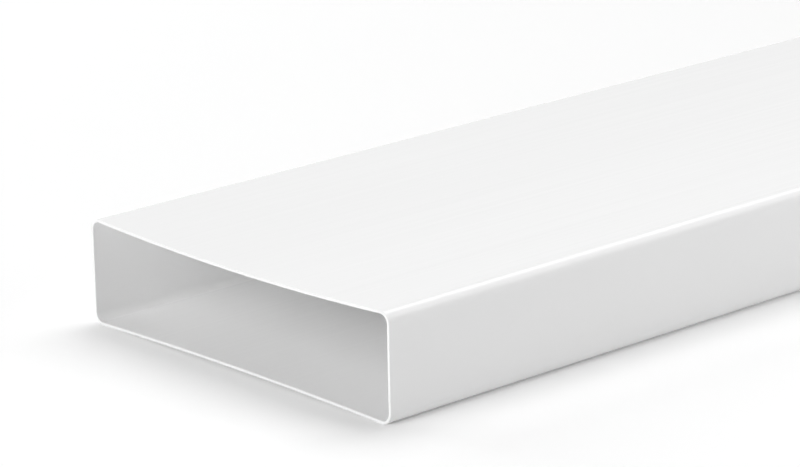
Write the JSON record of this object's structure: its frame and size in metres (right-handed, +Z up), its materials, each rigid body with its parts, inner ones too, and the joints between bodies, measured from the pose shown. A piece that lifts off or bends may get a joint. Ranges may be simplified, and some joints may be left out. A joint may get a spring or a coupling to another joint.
{
  "type": "flat channel duct",
  "caption": "Straight length of white plastic flat channel duct, a wide low thin-walled tube with round corners and dished wide walls, open at both ends, for ventilation air.",
  "frame": {"origin": "bottom centre of the duct's bounding box, on the floor that the duct lies on", "axes": "+X across the width, +Y along the length away from the end that the picture shows, +Z up through the less dished bottom wall to the more dished top wall"},
  "size_m": [0.22, 1, 0.055],
  "materials": {
    "white_pvc": "gloss"
  },
  "bodies": {
    "root": {"channel_duct": "white_pvc"}
  },
  "joints": []
}
